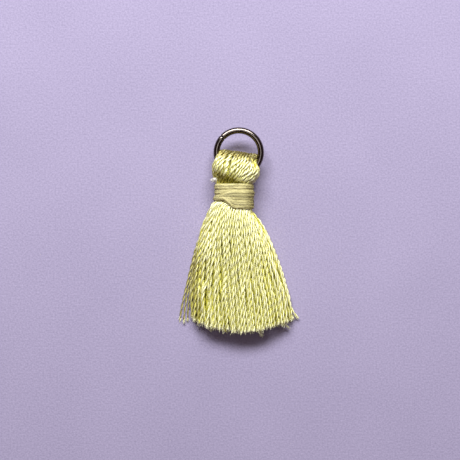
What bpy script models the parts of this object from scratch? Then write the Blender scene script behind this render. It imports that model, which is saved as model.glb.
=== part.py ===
"""A small silk tassel on a split ring, lying flat.

The ring end points along +Y, the cut ends along -Y, and the surface that the tassel lies on is z = 0.
The origin is on that surface, under the middle of the tassel's length and width.
"""

import math
from collections import namedtuple

import bmesh
import bpy
import numpy as np
from mathutils import Vector

MM = 0.001
GAP = 0.3 * MM

# The split ring: round wire, which the tight fold holds level, halfway up the head.
RING_OUTER = 8.0 * MM
WIRE = 1.0 * MM
RING_X = 0.03 * MM
RING_Y = 12.42 * MM
RING_Z = 2.9 * MM
RING_STEPS = 56
WIRE_SIDES = 8
SPLIT_AT = math.radians(137)
SPLIT_GAP = 0.2 * MM
SPLIT_STEP = 0.16 * MM
CHANNEL_STEPS = 40
CHANNEL_SIDES = 12

# The neck, where the tie draws the yarns in. Its middle is left of the origin, as the head leans.
NECK_X = -0.67 * MM
NECK_Z = 2.6 * MM
TIE_HALF_WIDTH = 3.15 * MM
TIE_HALF_HEIGHT = 2.75 * MM
TIE_WALL = 0.5 * MM
TIE_TOP_Y = 7.35 * MM
TIE_LOWER_Y = 4.05 * MM
TIE_SLANT = -0.19
TIE_TURNS = 9
TURN_RELIEF = 0.07 * MM
TIE_STEPS = 32

# The head: yarns folded over the ring, ridged where one yarn lies beside the next. Where the ridges
# are full, it is squarer than an ellipse.
HEAD_STEPS = 64
HEAD_SQUARENESS = 0.6
RIDGE_RELIEF = 0.07 * MM
RIDGE_LEAN = 0.9
FOLD_SKEW = -0.1

# The skirt: every yarn as one strand, four-sided, spread from the neck to its cut end.
STRANDS = 160
GOLDEN_ANGLE = math.pi * (3 - math.sqrt(5))
SPREAD_ROUNDS = 300
FIRST_REACH = 1.1
LAST_REACH = 0.8
SECTION_SQUARENESS = 2.2
EDGE_ROOM = 0.4
CUT_UNEVENNESS = 0.28 * MM

# The outermost strands, loose beside the rest at the cut ends, and their share of it further up.
LOOSE_LEFT = (-1.55 * MM, -1.10 * MM, -0.85 * MM)
LOOSE_RIGHT = (0.45 * MM,)
LOOSE_SHARES = (0.0, 0.0, 0.0, 0.0, 0.12, 0.5, 1.0)
LOWEST_LAYER = 0.35 * MM

# The free end of the tie thread, on the left of the neck: a short stub that frays at its tip.
StubRow = namedtuple("StubRow", "x y z radius")
STUB_ROWS = [
    StubRow(-3.62, 6.80, 2.60, 0.20),
    StubRow(-3.80, 7.35, 2.75, 0.24),
    StubRow(-4.06, 7.75, 2.90, 0.33),
    StubRow(-4.22, 8.08, 3.00, 0.22),
]
STUB_SIDES = 7

HeadRow = namedtuple("HeadRow", "y middle half_width low high ridge")
HEAD_ROWS = [
    HeadRow(12.75, 0.05, 1.90, 1.20, 3.20, 0.0),
    HeadRow(12.60, 0.05, 2.65, 0.70, 4.05, 0.6),
    HeadRow(12.20, 0.02, 3.15, 0.25, 4.75, 1.0),
    HeadRow(11.50, -0.08, 3.55, -0.10, 5.30, 1.0),
    HeadRow(10.60, -0.30, 3.78, -0.25, 5.60, 1.0),
    HeadRow(9.60, -0.46, 3.80, -0.25, 5.65, 1.0),
    HeadRow(8.70, -0.46, 3.62, -0.20, 5.45, 1.0),
    HeadRow(8.05, -0.45, 3.00, 0.05, 5.10, 0.8),
    HeadRow(7.70, -0.60, 2.75, 0.40, 4.75, 0.4),
    HeadRow(7.50, -0.67, 2.40, 0.65, 4.55, 0.0),
    HeadRow(4.45, -0.67, 2.40, 0.65, 4.55, 0.0),
]

SkirtRow = namedtuple("SkirtRow", "y left right low high flat yarn slant bow")
SKIRT_ROWS = [
    SkirtRow(4.75, -3.00, 1.66, 0.72, 4.48, 0.0, 0.16, -0.19, 0.0),
    SkirtRow(3.70, -3.05, 1.70, 0.70, 4.50, 0.0, 0.16, -0.19, 0.0),
    SkirtRow(2.60, -4.80, 2.60, 0.12, 5.05, 0.6, 0.15, -0.15, 0.0),
    SkirtRow(0.20, -6.20, 4.35, 0.00, 4.95, 1.0, 0.20, -0.05, 0.10),
    SkirtRow(-3.00, -6.90, 5.75, 0.00, 4.55, 1.0, 0.31, 0.0, 0.40),
    SkirtRow(-9.20, -7.60, 7.60, 0.00, 3.85, 1.0, 0.38, 0.0, 1.00),
    SkirtRow(-16.20, -7.95, 9.05, 0.00, 3.20, 1.0, 0.41, 0.0, 1.90),
]


def clear_scene():
    for obj in list(bpy.data.objects):
        bpy.data.objects.remove(obj, do_unlink=True)


def material(name, colour, roughness, metallic=0.0):
    made = bpy.data.materials.new(name)
    made.use_nodes = True
    shader = made.node_tree.nodes["Principled BSDF"]
    shader.inputs["Base Color"].default_value = (*colour, 1.0)
    shader.inputs["Roughness"].default_value = roughness
    shader.inputs["Metallic"].default_value = metallic
    return made


def add_tube(mesh, sections, closed=False):
    """Skins a row of point loops, one after another, with end caps unless the row closes on itself."""
    loops = [[mesh.verts.new(point) for point in section] for section in sections]
    sides = len(loops[0])
    pairs = list(zip(loops, loops[1:]))
    if closed:
        pairs.append((loops[-1], loops[0]))
    for one, other in pairs:
        for i in range(sides):
            j = (i + 1) % sides
            mesh.faces.new((one[i], one[j], other[j], other[i]))
    if not closed:
        mesh.faces.new(loops[0][::-1])
        mesh.faces.new(loops[-1])


def add_object(name, mesh, finish):
    """Turns a finished bmesh into an object with its faces outwards."""
    bmesh.ops.recalc_face_normals(mesh, faces=mesh.faces[:])
    data = bpy.data.meshes.new(name)
    mesh.to_mesh(data)
    mesh.free()
    data.shade_smooth()
    data.set_sharp_from_angle(angle=math.radians(50))
    data.materials.append(finish)
    obj = bpy.data.objects.new(name, data)
    bpy.context.scene.collection.objects.link(obj)
    return obj


def add_helper(name, mesh, finish):
    obj = add_object(name, mesh, finish)
    obj.hide_render = True
    obj.display_type = "WIRE"
    return obj


def add_boolean(obj, operand, operation):
    modifier = obj.modifiers.new(operation.title(), "BOOLEAN")
    modifier.operation = operation
    modifier.object = operand


def oval(angle, half_width, half_height, squareness=2.0):
    """A point of a superellipse: squareness 2 is an ellipse, more is squarer."""
    power = 2 / squareness
    across = math.copysign(abs(math.cos(angle)) ** power, math.cos(angle))
    up = math.copysign(abs(math.sin(angle)) ** power, math.sin(angle))
    return half_width * across, half_height * up


def wire_section(angle, wire_radius, sides, lift):
    """One loop of the wire at an angle round the ring, with a facet towards the ring's centre."""
    mean_radius = (RING_OUTER - WIRE) / 2
    points = []
    for k in range(sides):
        turn = 2 * math.pi * (k + 0.5) / sides
        reach = mean_radius + wire_radius * math.cos(turn)
        x = RING_X + reach * math.cos(angle)
        y = RING_Y + reach * math.sin(angle)
        points.append(Vector((x, y, RING_Z + wire_radius * math.sin(turn) + lift)))
    return points


def split_ring(finish):
    """The wire runs once round, and its two cut ends stand a little out of line."""
    half_gap = SPLIT_GAP / (RING_OUTER - WIRE)
    start = SPLIT_AT + half_gap
    sweep = 2 * math.pi - 2 * half_gap
    facet_radius = WIRE / 2 / math.cos(math.pi / WIRE_SIDES)
    sections = []
    for k in range(RING_STEPS + 1):
        share = k / RING_STEPS
        lift = SPLIT_STEP * (share - 0.5) ** 3 * 4
        sections.append(wire_section(start + sweep * share, facet_radius, WIRE_SIDES, lift))
    mesh = bmesh.new()
    add_tube(mesh, sections)
    return add_object("split_ring", mesh, finish)


def ring_channel(finish):
    """Cuts the way that the ring takes through the fold, a gap wider than the wire all round."""
    radius = WIRE / 2 + GAP + SPLIT_STEP / 2
    sections = [
        wire_section(2 * math.pi * k / CHANNEL_STEPS, radius, CHANNEL_SIDES, 0.0)
        for k in range(CHANNEL_STEPS)
    ]
    mesh = bmesh.new()
    add_tube(mesh, sections, closed=True)
    return add_helper("ring_channel", mesh, finish)


def head_section(row):
    """A loop of the head across the yarns, flat where it would go under the surface."""
    half_height = (row.high - row.low) / 2 * MM
    centre_z = (row.high + row.low) / 2 * MM
    points = []
    for k in range(HEAD_STEPS):
        angle = 2 * math.pi * k / HEAD_STEPS + RIDGE_LEAN * row.y / HEAD_ROWS[0].y
        ridge = RIDGE_RELIEF * row.ridge * (1 if k % 2 else -1)
        squareness = 2 + HEAD_SQUARENESS * row.ridge
        across, up = oval(angle, row.half_width * MM + ridge, half_height + ridge, squareness)
        x = row.middle * MM + across
        above_neck = max(0.0, row.y * MM - TIE_TOP_Y) / (RING_Y - TIE_TOP_Y)
        skew = FOLD_SKEW * across * above_neck
        if row is HEAD_ROWS[-1]:
            skew = TIE_SLANT * across
        points.append(Vector((x, row.y * MM + skew, max(0.0, centre_z + up))))
    return points


def section_room(row, share):
    """The lowest level of strand centres at a share of a section's half width, and the room above it."""
    rounding = (1 - np.clip(np.abs(share), 0, 1) ** SECTION_SQUARENESS) ** (1 / SECTION_SQUARENESS)
    height = row.high - row.low
    low = row.low + (1 - row.flat) * height / 2 * (1 - rounding) + row.yarn / 2
    return low * MM, np.clip(height * rounding - row.yarn, EDGE_ROOM, None) * MM


def strand_half_width(row):
    return (row.right - row.left - row.yarn) / 2 * MM


def place_strands(row, share, lift):
    """Turns shares of a section's width and height into strand centres measured from its middle."""
    low, room = section_room(row, share)
    return share * strand_half_width(row), low + lift * room


def share_out(row, across, level):
    """The reverse of place_strands, with strands that have left the section moved back to its edge."""
    share = np.clip(across / strand_half_width(row), -1, 1)
    low, room = section_room(row, share)
    return share, np.clip((level - low) / room, 0, 1)


def spread_strands(row, share, lift, first_reach):
    """Evens out the strands inside a section, each pushing away the ones that are too near.

    Nearness is measured squarely, as the strands are four-sided, and the reach of a push shrinks
    until no pair is left touching.
    """
    _, room = section_room(row, np.linspace(-1, 1, 81))
    spacing = math.sqrt((room.mean() + row.yarn * MM) * 2 * strand_half_width(row) / STRANDS)
    order = np.arange(STRANDS)
    nudge = (order[:, None] - order[None, :]) * 1e-9
    for reach in np.linspace(first_reach, LAST_REACH, SPREAD_ROUNDS) * spacing:
        across, level = place_strands(row, share, lift)
        dx = across[:, None] - across[None, :] + nudge
        dz = level[:, None] - level[None, :]
        apart = np.sqrt(np.hypot(dx * dx, dz * dz))
        np.fill_diagonal(apart, reach)
        push = np.clip(reach - apart, 0, None) / apart * 0.4
        across = across + (dx * push).sum(axis=1)
        level = level + (dz * push).sum(axis=1)
        share, lift = share_out(row, across, level)
    return share, lift


def strand_paths():
    """The strands' centres in each skirt section, from the root in the neck to the cut ends.

    They are laid out at the cut ends first, and drawn together from one section to the next.
    """
    order = np.arange(STRANDS)
    radius = np.sqrt((order + 0.5) / STRANDS)
    share = radius * np.cos(order * GOLDEN_ANGLE)
    lift = 0.5 + 0.5 * radius * np.sin(order * GOLDEN_ANGLE)
    first_reach = FIRST_REACH
    cut = CUT_UNEVENNESS * np.sin(order * 2.3) * np.cos(order * 1.1)
    sections = []
    for row in reversed(SKIRT_ROWS):
        share, lift = spread_strands(row, share, lift, first_reach)
        across, level = place_strands(row, share, lift)
        along = row.y * MM + row.slant * across + row.bow * MM * share**2 + cut
        middle = (row.left + row.right) / 2 * MM
        sections.append(np.stack([middle + across, along, level], axis=1))
        first_reach = LAST_REACH
        cut = 0.0
    return loosen_outer(np.stack(sections[::-1], axis=1))


def loosen_outer(paths):
    """Moves the outermost strands of the lowest layer away from the rest towards their cut ends."""
    lowest = np.flatnonzero(paths[:, -1, 2] < LOWEST_LAYER)
    outwards = lowest[np.argsort(paths[lowest, -1, 0])]
    shares = np.array(LOOSE_SHARES)
    half_yarn = np.array([row.yarn for row in SKIRT_ROWS]) * MM / 2
    moves = list(zip(outwards, LOOSE_LEFT)) + list(zip(outwards[::-1], LOOSE_RIGHT))
    for strand, move in moves:
        paths[strand, :, 0] += move * shares
        paths[strand, :, 2] += (half_yarn - paths[strand, :, 2]) * shares
    return paths


def yarn_strands(finish):
    """All strands as separate four-sided bars whose roots reach into the head."""
    corners = [Vector((x, 0, z)) for x, z in ((-1, -1), (1, -1), (1, 1), (-1, 1))]
    mesh = bmesh.new()
    for path in strand_paths():
        sections = []
        for row, centre in zip(SKIRT_ROWS, path):
            half_yarn = row.yarn * MM / 2
            sections.append([Vector(centre) + corner * half_yarn for corner in corners])
        add_tube(mesh, sections)
    return add_helper("yarn_strands", mesh, finish)


def yarn_bundle(finish):
    """The yarns: folded over the ring in the head, drawn in at the neck, and free in the skirt."""
    mesh = bmesh.new()
    add_tube(mesh, [head_section(row) for row in HEAD_ROWS])
    bundle = add_object("yarn_bundle", mesh, finish)
    add_boolean(bundle, yarn_strands(finish), "UNION")
    add_boolean(bundle, ring_channel(finish), "DIFFERENCE")
    return bundle


def tie_loop(share, inset):
    """A loop round the neck, at a share of the way down the tie and an inset from its outside."""
    points = []
    for k in range(TIE_STEPS):
        across, up = oval(
            2 * math.pi * k / TIE_STEPS, TIE_HALF_WIDTH - inset, TIE_HALF_HEIGHT - inset
        )
        lower_y = TIE_LOWER_Y + TIE_SLANT * across
        y = TIE_TOP_Y + (lower_y - TIE_TOP_Y) * share
        points.append(Vector((NECK_X + across, y, max(0.0, NECK_Z + up))))
    return points


def neck_tie(finish):
    """The wound tie: a ridge for each turn, drawn closer together on the left."""
    sections = [tie_loop(0.0, TIE_WALL)]
    for k in range(2 * TIE_TURNS + 1):
        groove = TURN_RELIEF * (1 - k % 2)
        sections.append(tie_loop(k / (2 * TIE_TURNS), groove))
    sections.append(tie_loop(1.0, TIE_WALL))
    mesh = bmesh.new()
    add_tube(mesh, sections, closed=True)
    tie = add_object("neck_tie", mesh, finish)
    add_boolean(tie, tie_stub(finish), "UNION")
    return tie


def tie_stub(finish):
    """The free end of the tie thread, rooted in the wall of the tie."""
    sections = []
    for row in STUB_ROWS:
        turns = [2 * math.pi * k / STUB_SIDES for k in range(STUB_SIDES)]
        sections.append(
            [
                Vector((row.x + row.radius * math.cos(turn), row.y, row.z + row.radius * math.sin(turn)))
                * MM
                for turn in turns
            ]
        )
    mesh = bmesh.new()
    add_tube(mesh, sections)
    return add_helper("tie_stub", mesh, finish)


def main():
    clear_scene()
    silk = material("yarn_silk", (0.83, 0.80, 0.42), 0.35)
    thread = material("tie_thread", (0.80, 0.75, 0.47), 0.75)
    metal = material("ring_metal", (0.33, 0.29, 0.25), 0.22, metallic=1.0)
    yarn_bundle(silk)
    neck_tie(thread)
    split_ring(metal)


main()
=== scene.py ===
"""A small silk tassel on a split ring, lying on a pale lilac surface and seen from straight above.

Sizes in the classes are in millimetres, and meshes are in metres. The ring end of the tassel
points along +Y, and the surface that it lies on is z = 0.
"""

from __future__ import annotations

import logging
import math
from collections.abc import Mapping, Sequence
from dataclasses import dataclass, field
from enum import Enum
from typing import Any, NamedTuple

import bpy
import numpy as np
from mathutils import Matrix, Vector


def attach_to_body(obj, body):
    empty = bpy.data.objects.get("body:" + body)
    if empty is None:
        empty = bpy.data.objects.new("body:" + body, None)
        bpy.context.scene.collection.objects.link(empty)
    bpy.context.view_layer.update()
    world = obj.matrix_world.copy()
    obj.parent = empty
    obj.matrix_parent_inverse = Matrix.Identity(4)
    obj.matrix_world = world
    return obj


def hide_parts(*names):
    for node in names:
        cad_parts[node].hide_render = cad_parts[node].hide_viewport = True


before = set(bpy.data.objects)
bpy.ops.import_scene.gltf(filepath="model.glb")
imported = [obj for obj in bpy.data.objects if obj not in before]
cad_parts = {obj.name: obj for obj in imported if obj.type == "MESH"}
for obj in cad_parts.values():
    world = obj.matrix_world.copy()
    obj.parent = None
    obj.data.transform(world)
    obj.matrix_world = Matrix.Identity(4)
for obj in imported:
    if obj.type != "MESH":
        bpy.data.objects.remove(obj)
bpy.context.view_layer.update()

MM = 0.001
FULL_TURN = 2 * math.pi
Settings = Mapping[str, Any]
Sockets = Mapping[str | int, Any]
Colour = tuple[float, float, float]
Array = np.ndarray
CLEARANCE = 0.01
LOWEST_HAIR = 0.04
STRAY_POINTS = (7, 14)
STRAY_SHIFT = 0.12
# Depths in the bundle, in millimetres, where the painted shade among the yarns starts and is full.
RECESS_SHADE_DEPTHS = (0.15, 0.65)
Socket = bpy.types.NodeSocket
Material = bpy.types.Material
Piece = bpy.types.Object
log = logging.getLogger("tassel")


class Value:
    """A number on a node's socket, on which arithmetic adds Math nodes."""

    def __init__(self, graph: Graph, socket: Socket) -> None:
        """Wraps a socket of a graph."""
        self.graph = graph
        self.socket = socket

    def maths(self, operation: str, *terms: Any) -> Value:
        """Adds a Math node and returns its result. Each term is a number or a Value."""
        settings = {"operation": operation}
        return self.graph.value("ShaderNodeMath", settings, dict(enumerate(terms)))

    def __add__(self, other: Any) -> Value:
        """Self plus other."""
        return self.maths("ADD", self, other)

    def __sub__(self, other: Any) -> Value:
        """Self less other."""
        return self.maths("SUBTRACT", self, other)

    def __rsub__(self, other: Any) -> Value:
        """Other less self."""
        return self.maths("SUBTRACT", other, self)

    def __mul__(self, other: Any) -> Value:
        """Self times other."""
        return self.maths("MULTIPLY", self, other)

    def __truediv__(self, other: Any) -> Value:
        """Self over other."""
        return self.maths("DIVIDE", self, other)

    def __rtruediv__(self, other: Any) -> Value:
        """Other over self."""
        return self.maths("DIVIDE", other, self)

    __radd__ = __add__
    __rmul__ = __mul__

    def sine(self) -> Value:
        """The sine of self in radians."""
        return self.maths("SINE", self)

    def cosine(self) -> Value:
        """The cosine of self in radians."""
        return self.maths("COSINE", self)


class Graph:
    """A node tree, of a material or of Geometry Nodes, whose nodes all come from one method."""

    def __init__(self, tree: bpy.types.NodeTree) -> None:
        """Takes the tree that the nodes go into."""
        self.tree = tree

    def node(
        self, kind: str, settings: Settings | None = None, sockets: Sockets | None = None
    ) -> bpy.types.Node:
        """Adds a node.

        Args:
            kind: the node's type name.
            settings: properties, such as a Math node's operation, which are set first.
            sockets: a value, Value or output socket for each named or numbered input.

        Returns:
            The new node.
        """
        made = self.tree.nodes.new(kind)
        for key, setting in (settings or {}).items():
            setattr(made, key, setting)
        for key, given in (sockets or {}).items():
            if isinstance(given, Value):
                given = given.socket
            if isinstance(given, Socket):
                self.tree.links.new(given, made.inputs[key])
            else:
                made.inputs[key].default_value = given
        return made

    def output(
        self,
        kind: str,
        settings: Settings | None = None,
        sockets: Sockets | None = None,
        output: str | int = 0,
    ) -> Socket:
        """Adds a node and returns one of its outputs."""
        return self.node(kind, settings, sockets).outputs[output]

    def value(self, kind: str, *given: Any, output: str | int = 0) -> Value:
        """Adds a node, as output does, and returns one of its outputs as a Value."""
        return Value(self, self.output(kind, *given, output=output))


class Shader(Graph):
    """A material's node tree around one Principled shader."""

    def __init__(self, name: str) -> None:
        """Makes the material with an empty tree.

        Args:
            name: the material's name.
        """
        self.material = bpy.data.materials.new(name)
        self.material.use_nodes = True
        self.material.node_tree.nodes.clear()
        super().__init__(self.material.node_tree)

    def attribute(self, name: str) -> Value:
        """A number stored on the piece's mesh."""
        return self.value("ShaderNodeAttribute", {"attribute_name": name}, output="Fac")

    def noise(self, vector: Socket, scale: float, detail: float = 2.0) -> Value:
        """Noise from 0 to 1 with scale blotches in one unit, and finer ones in detail layers."""
        sockets = {"Vector": vector, "Scale": scale, "Detail": detail}
        return self.value("ShaderNodeTexNoise", None, sockets, output="Fac")

    def place(self) -> Socket:
        """The piece's own coordinates in metres."""
        return self.output("ShaderNodeTexCoord", output="Object")

    def blend(self, share: Value, low: Colour | Socket, high: Colour) -> Socket:
        """Mixes two colours.

        Args:
            share: 0 for the first colour and 1 for the second.
            low: the first colour, or the socket that gives it.
            high: the second colour.

        Returns:
            The mixed colour's socket.
        """
        settings = {"data_type": "RGBA", "clamp_factor": True}
        first = (*low, 1.0) if isinstance(low, tuple) else low
        sockets = {0: share, 6: first, 7: (*high, 1.0)}
        return self.output("ShaderNodeMix", settings, sockets, 2)

    def bump(self, height: Value, depth: float, strength: float) -> Socket:
        """The normal of a height from 0 to 1, where 1 stands depth metres high."""
        sockets = {"Height": height, "Distance": depth, "Strength": strength}
        return self.output("ShaderNodeBump", None, sockets, "Normal")

    def finish(self, sockets: Sockets) -> Material:
        """Adds the Principled shader and the output.

        Args:
            sockets: the Principled shader's values and links.

        Returns:
            The finished material.
        """
        surface = self.node("ShaderNodeBsdfPrincipled", None, sockets)
        self.node("ShaderNodeOutputMaterial", None, {"Surface": surface.outputs[0]})
        return self.material


@dataclass(frozen=True)
class ThreadFinish:
    """Plied yarn or thread, with fine fibres along each ply and a tone for each yarn.

    Attributes:
        deep: the colour of the deepest tone.
        pale: the colour of the palest tone.
        gloss: how strongly the surface shines.
        refraction: the index of refraction, which sets how bright the shine is.
        ply_shade_and_highlight: how much deeper the tone is between the plies, as painted shade, and
            paler on their outer sides, as painted highlight.
        mean_crest: the crest at which the tone is neither deeper nor paler.
        recess_shade_colour: the colour of the painted shade deep among the yarns, which takes over
            by recess_shade_share.
        recess_shade_lustre: how far the shine takes up that colour there.
        shade_and_darkening_colour: the colour that painted shade and other darkening blend towards.
        fibre_depth: how high the fibres stand, in millimetres.
        fibres_round: how many fibres there are round a ply, roughly.
        fibres_along: how often they change along a metre of ply.
        tone_shift: how far apart in the noise a pale and a deep yarn lie.
        blotch: how many blotches there are in a metre.
        own_share: how much of the tone is the yarn's own.
        blotch_share: how much of it the blotches add.
        fibre_share: how much of it the fibres add.
        darker: how much is taken off it.
        roughness_spread: how far the roughness differs between fibres.
    """

    name: str
    deep: Colour
    pale: Colour
    roughness: float
    gloss: float
    refraction: float = 1.5
    sheen: float = 0.0
    ply_shade_and_highlight: float = 0.0
    mean_crest: float = 0.85
    # Painted shade deep among the yarns, in a more saturated yellow.
    recess_shade_colour: Colour = (0.80, 0.765, 0.006)
    recess_shade_share: float = 0.8
    recess_shade_lustre: float = 0.5
    # The colour of painted shade and other darkening.
    shade_and_darkening_colour: Colour = (0.39, 0.34, 0.11)
    fibre_depth: float = 0.02
    fibres_round: float = 3.0
    fibres_along: float = 350.0
    tone_shift: float = 40.0
    blotch: float = 260.0
    own_share: float = 0.6
    blotch_share: float = 0.3
    fibre_share: float = 0.35
    darker: float = 0.1
    roughness_spread: float = 0.16

    def material(self) -> Material:
        """Builds the material.

        Returns:
            The material.
        """
        shader = Shader(self.name)
        turn = shader.attribute("ply_turn") * FULL_TURN
        along = shader.attribute("ply_length") * self.fibres_along
        own_tone = shader.attribute("tone")
        round_ply = {
            0: turn.cosine() * self.fibres_round,
            1: turn.sine() * self.fibres_round,
            2: along + own_tone * self.tone_shift,
        }
        fibre_place = shader.output("ShaderNodeCombineXYZ", None, round_ply)
        fibres = shader.noise(fibre_place, 1.6, 3.0)
        blotches = shader.noise(shader.place(), self.blotch, 1.0)
        tone = own_tone * self.own_share + blotches * self.blotch_share
        tone = tone + fibres * self.fibre_share - self.darker
        # Painted shade between the plies and painted highlight on their outer sides.
        tone = tone + (shader.attribute("crest") - self.mean_crest) * self.ply_shade_and_highlight
        # Painted shade, and the darkening of the loose yarns, towards the shade colour, with more
        # metallic shine.
        dull = shader.attribute("dull")
        # Painted shade deep among the yarns, with more metallic shine.
        sunk = shader.attribute("sunk")
        lowest_roughness = self.roughness - self.roughness_spread / 2
        colour = shader.blend(tone, self.deep, self.pale)
        colour = shader.blend(sunk * self.recess_shade_share, colour, self.recess_shade_colour)
        return shader.finish(
            {
                "Base Color": shader.blend(dull, colour, self.shade_and_darkening_colour),
                "Roughness": fibres * self.roughness_spread + lowest_roughness,
                "Metallic": dull + sunk * self.recess_shade_lustre * (1 - dull),
                "IOR": self.refraction,
                "Specular IOR Level": self.gloss,
                "Specular Tint": (1.0, 1.0, 1.0, 1.0),
                "Sheen Weight": self.sheen,
                "Sheen Roughness": 0.35,
                "Sheen Tint": (*self.pale, 1.0),
                "Normal": shader.bump(fibres, self.fibre_depth * MM, 0.8),
            }
        )


@dataclass(frozen=True)
class RingFinish:
    """Polished wire with a dark bronze tone, thinly worn where it has been bent.

    Attributes:
        patch: how many paler patches there are in a metre.
        scratch: how many fine scratches there are in a metre.
    """

    name: str = "dark_ring_metal"
    dark: Colour = (0.08, 0.07, 0.065)
    bronze: Colour = (0.20, 0.17, 0.145)
    patch: float = 900.0
    scratch: float = 6000.0

    def material(self) -> Material:
        """Builds the material.

        Returns:
            The material.
        """
        shader = Shader(self.name)
        place = shader.place()
        patches = shader.noise(place, self.patch, 3.0)
        scratches = shader.noise(place, self.scratch)
        return shader.finish(
            {
                "Base Color": shader.blend(patches * 1.6 - 0.3, self.dark, self.bronze),
                "Metallic": 1.0,
                "Roughness": patches * 0.10 + scratches * 0.06 + 0.06,
                "Normal": shader.bump(scratches, 0.006 * MM, 0.5),
            }
        )


@dataclass(frozen=True)
class FloorFinish:
    """Plain lilac paper with a faint tooth.

    Attributes:
        tooth: how many specks there are in a metre.
        cloud: how many faint clouds there are in a metre.
    """

    name: str = "lilac_paper"
    deep: Colour = (0.257, 0.230, 0.352)
    pale: Colour = (0.377, 0.336, 0.490)
    tooth: float = 3600.0
    cloud: float = 60.0

    def material(self) -> Material:
        """Builds the material.

        Returns:
            The material.
        """
        shader = Shader(self.name)
        place = shader.place()
        tooth = shader.noise(place, self.tooth)
        clouds = shader.noise(place, self.cloud)
        return shader.finish(
            {
                "Base Color": shader.blend(tooth * 1.7 + clouds * 0.4 - 0.55, self.deep, self.pale),
                "Roughness": 0.9,
                "Normal": shader.bump(tooth, 0.05 * MM, 0.6),
            }
        )


@dataclass
class Chain:
    """The middle line of one yarn, with what varies from yarn to yarn and along it.

    Attributes:
        points: places along the yarn, in millimetres.
        tone: how pale the yarn is, from 0 to 1.
        phase: where round the yarn its first ply starts, in radians.
        thick: the share of the full thickness at each point.
        open_up: how far the plies come apart at each point, over their normal offset.
        dull: how far the yarn's colour goes over to the shade colour at each point, from 0 to 1,
            mostly as painted shade.
        twist: the number of turns of its plies, over the normal number.
    """

    points: Array
    tone: float = 0.5
    phase: float = 0.0
    thick: Array | None = None
    open_up: Array | None = None
    dull: Array | None = None
    twist: float = 1.0

    def column(self, name: str) -> Array:
        """One of the chain's numbers at each of its points.

        Args:
            name: the number's name.

        Returns:
            The numbers.
        """
        unset = 0.0 if name == "dull" else 1.0
        number = getattr(self, name)
        return np.broadcast_to(unset if number is None else number, len(self.points))


@dataclass(frozen=True)
class Lay:
    """How plies are laid up into a yarn, in millimetres. A single fibre is one plain ply."""

    ply_radius: float
    sides: int = 3
    plies: int = 1
    ply_offset: float = 0.0
    pitch: float = 1.0


STRAY_FIBRE = Lay(ply_radius=0.022)


def linked(name: str, data: bpy.types.ID) -> Piece:
    """Makes an object and links it to the scene.

    Args:
        name: the object's name.
        data: its mesh, lamp or camera.

    Returns:
        The object.
    """
    made = bpy.data.objects.new(name, data)
    bpy.context.scene.collection.objects.link(made)
    return made


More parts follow.
